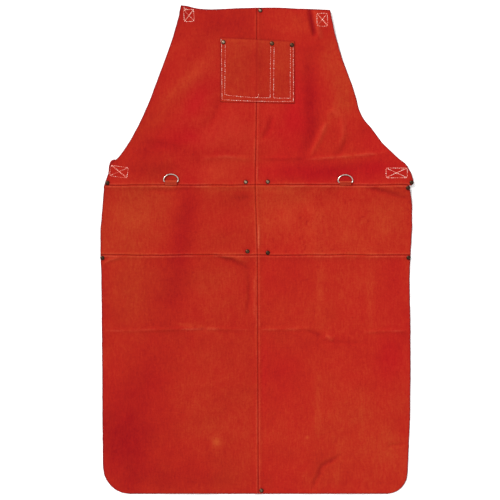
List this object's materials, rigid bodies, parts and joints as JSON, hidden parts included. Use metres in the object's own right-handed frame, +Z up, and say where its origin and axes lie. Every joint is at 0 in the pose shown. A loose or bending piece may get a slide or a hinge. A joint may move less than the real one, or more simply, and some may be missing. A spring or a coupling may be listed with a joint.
{
  "type": "welding apron",
  "caption": "Split-leather bib apron with riveted seams, a chest pocket, waist D-rings, a hidden neck strap with slider and a buckled waist belt.",
  "frame": {"origin": "on the floor, under the middle of the apron laid flat and face up", "axes": "+X across the apron towards the right of the picture, +Y from the hem up to the bib, +Z up out of the floor, from the back of the leather to its face"},
  "size_m": [0.6108, 0.95, 0.0118],
  "materials": {
    "leather_left": "split suede cowhide, soft nap, rust red",
    "leather_right": "split suede cowhide, soft nap, rust red, a little lighter",
    "leather_trim": "split suede cowhide offcuts, soft nap",
    "rivet_metal": "antique plated steel, domed, worn bright at the crown",
    "ring_metal": "nickel-plated steel wire",
    "webbing": "woven 25 mm polypropylene webbing",
    "buckle_plastic": "moulded acetal, fine satin texture",
    "thread": "waxed white aramid sewing thread"
  },
  "bodies": {
    "waist_section": {"bib_left_lower": "leather_left", "bib_right_lower": "leather_right", "waist_left": "leather_left", "waist_right": "leather_right", "skirt_left_upper": "leather_left", "skirt_right_upper": "leather_right", "waist_tab": "leather_trim", "ring_keeper_left": "leather_trim", "ring_keeper_right": "leather_trim", "belt_left": "webbing", "belt_right": "webbing", "buckle_socket": "buckle_plastic", "rivet_waist_far_left_cap": "rivet_metal", "rivet_waist_far_left_burr": "rivet_metal", "rivet_waist_left_cap": "rivet_metal", "rivet_waist_left_burr": "rivet_metal", "rivet_waist_right_cap": "rivet_metal", "rivet_waist_right_burr": "rivet_metal", "rivet_waist_far_right_cap": "rivet_metal", "rivet_waist_far_right_burr": "rivet_metal", "rivet_waist_corner_cap": "rivet_metal", "rivet_waist_corner_burr": "rivet_metal", "rivet_lower_far_left_cap": "rivet_metal", "rivet_lower_far_left_burr": "rivet_metal", "rivet_lower_left_cap": "rivet_metal", "rivet_lower_left_burr": "rivet_metal", "rivet_lower_right_cap": "rivet_metal", "rivet_lower_right_burr": "rivet_metal", "rivet_lower_far_right_cap": "rivet_metal", "rivet_lower_far_right_burr": "rivet_metal"},
    "bib_flap": {"bib_left_upper": "leather_left", "bib_right_upper": "leather_right", "chest_pocket": "leather_trim", "pocket_thread_outer": "thread", "pocket_thread_inner": "thread", "neck_strap": "webbing", "rivet_top_centre_cap": "rivet_metal", "rivet_top_centre_burr": "rivet_metal", "rivet_pocket_left_cap": "rivet_metal", "rivet_pocket_left_burr": "rivet_metal", "rivet_pocket_middle_cap": "rivet_metal", "rivet_pocket_middle_burr": "rivet_metal", "rivet_pocket_right_cap": "rivet_metal", "rivet_pocket_right_burr": "rivet_metal"},
    "skirt_flap": {"skirt_left_lower": "leather_left", "skirt_right_lower": "leather_right", "rivet_hem_cap": "rivet_metal", "rivet_hem_burr": "rivet_metal"},
    "ring_left": {"d_ring_left": "ring_metal"},
    "ring_right": {"d_ring_right": "ring_metal"},
    "slider": {"neck_slider": "buckle_plastic"},
    "tongue": {"buckle_tongue": "buckle_plastic"}
  },
  "joints": [
    {"name": "bib_fold", "type": "hinge", "parent": "waist_section", "child": "bib_flap", "pos_m": [0, 0.18, 0.014], "axis": [1, 0, 0], "range_deg": [0, 180]},
    {"name": "skirt_fold", "type": "hinge", "parent": "waist_section", "child": "skirt_flap", "pos_m": [0, -0.157, 0.0075], "axis": [-1, 0, 0], "range_deg": [0, 180]},
    {"name": "ring_left_swing", "type": "hinge", "parent": "waist_section", "child": "ring_left", "pos_m": [-0.1666, 0.133, 0.0068], "axis": [1, 0, 0], "range_deg": [0, 180]},
    {"name": "ring_right_swing", "type": "hinge", "parent": "waist_section", "child": "ring_right", "pos_m": [0.1728, 0.1316, 0.0091], "axis": [1, 0, 0], "range_deg": [0, 180]},
    {"name": "slider_adjust", "type": "slide", "parent": "bib_flap", "child": "slider", "axis": [1, 0, 0], "range_m": [-0.03, 0.05]},
    {"name": "buckle_release", "type": "slide", "parent": "waist_section", "child": "tongue", "axis": [1, 0, 0], "range_m": [0, 0.028], "deforming": ["belt_right", "buckle_tongue"]}
  ]
}
